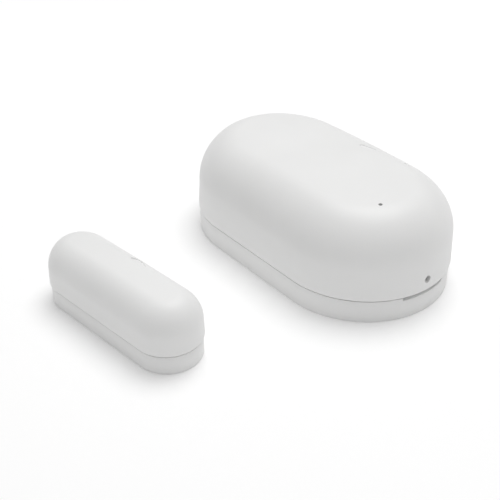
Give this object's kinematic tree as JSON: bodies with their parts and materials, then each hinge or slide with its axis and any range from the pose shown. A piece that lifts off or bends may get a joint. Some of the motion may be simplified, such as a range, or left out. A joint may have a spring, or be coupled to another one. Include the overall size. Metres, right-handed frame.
{
  "type": "door contact sensor",
  "caption": "Pill-shaped wireless door contact sensor with a snap-off cover, release end and pinhole reset, beside its smaller matching magnet unit.",
  "frame": {"origin": "centre of the sensor unit's mounting face, in the plane of its adhesive pad", "axes": "+X along the sensor unit towards the end with the reset pinhole and the pry notch, +Z out of the wall through the crowned top, the magnet unit lies on the -Y side"},
  "size_m": [0.0638, 0.0766, 0.0226],
  "materials": {
    "shell_white": "matte moulded ABS, fine spark texture",
    "base_white": "matte moulded ABS, fine spark texture",
    "foam_tape": "closed-cell foam tape",
    "clear_acrylic": "clear moulded light pipe",
    "holder_black": "matte black nylon",
    "cell_sleeve": "shrink sleeve with bare steel ends",
    "spring_steel": "nickel-plated spring steel",
    "contact_nickel": "nickel-plated strip",
    "board_green": "solder mask over glass-epoxy",
    "module_blue": "solder mask over glass-epoxy",
    "tinned_steel": "tinned, lightly brushed",
    "reed_glass": "green-tinted glass",
    "tinned_lead": "tinned iron wire",
    "crystal_can": "drawn can",
    "tantalum_orange": "moulded epoxy",
    "chip_dark": "moulded epoxy with tinned ends",
    "led_lens": "clear epoxy over a white package",
    "switch_black": "moulded nylon",
    "plunger_white": "moulded acetal",
    "screw_zinc": "zinc plated",
    "magnet_nickel": "nickel-plated sintered magnet",
    "foam_dark": "open-cell foam"
  },
  "bodies": {
    "sensor_base_unit": {"sensor_base": "base_white", "sensor_adhesive_pad": "foam_tape", "battery_holder": "holder_black", "battery_cell": "cell_sleeve", "negative_spring": "spring_steel", "negative_strip": "contact_nickel", "positive_contact": "contact_nickel", "circuit_board": "board_green", "radio_module": "module_blue", "radio_shield": "tinned_steel", "antenna": "tinned_steel", "reed_glass": "reed_glass", "reed_leads": "tinned_lead", "quartz_crystal": "crystal_can", "storage_capacitor": "tantalum_orange", "surface_components": "chip_dark", "status_led": "led_lens", "reset_switch_body": "switch_black", "tamper_switch_body": "switch_black", "board_screws": "screw_zinc"},
    "sensor_cover_unit": {"sensor_cover": "shell_white", "light_pipe": "clear_acrylic"},
    "reset_button": {"reset_plunger": "plunger_white"},
    "tamper_button": {"tamper_plunger": "plunger_white"},
    "magnet_unit": {"magnet_base": "base_white", "magnet_adhesive_pad": "foam_tape", "bar_magnet": "magnet_nickel", "magnet_foam": "foam_dark"},
    "magnet_cover_unit": {"magnet_cover": "shell_white"}
  },
  "joints": [
    {"name": "cover_lift", "type": "slide", "parent": "sensor_base_unit", "child": "sensor_cover_unit", "axis": [0, 0, 1], "range_m": [0, 0.032]},
    {"name": "tamper_lift", "type": "slide", "parent": "sensor_base_unit", "child": "tamper_button", "axis": [0, 0, 1], "range_m": [0, 0.0008]},
    {"name": "reset_press", "type": "slide", "parent": "sensor_base_unit", "child": "reset_button", "axis": [-1, 0, 0], "range_m": [0, 0.00025], "stiffness_N_per_m": 2000, "springref_m": -0.0004},
    {"name": "magnet_travel", "type": "slide", "parent": "sensor_base_unit", "child": "magnet_unit", "axis": [0, 1, 0], "range_m": [-0.03, 0.015]},
    {"name": "magnet_cover_lift", "type": "slide", "parent": "magnet_unit", "child": "magnet_cover_unit", "axis": [0, 0, 1], "range_m": [0, 0.02]}
  ],
  "couplings": [
    {"joint": "tamper_lift", "follows": "cover_lift", "ratio": 0.025}
  ]
}
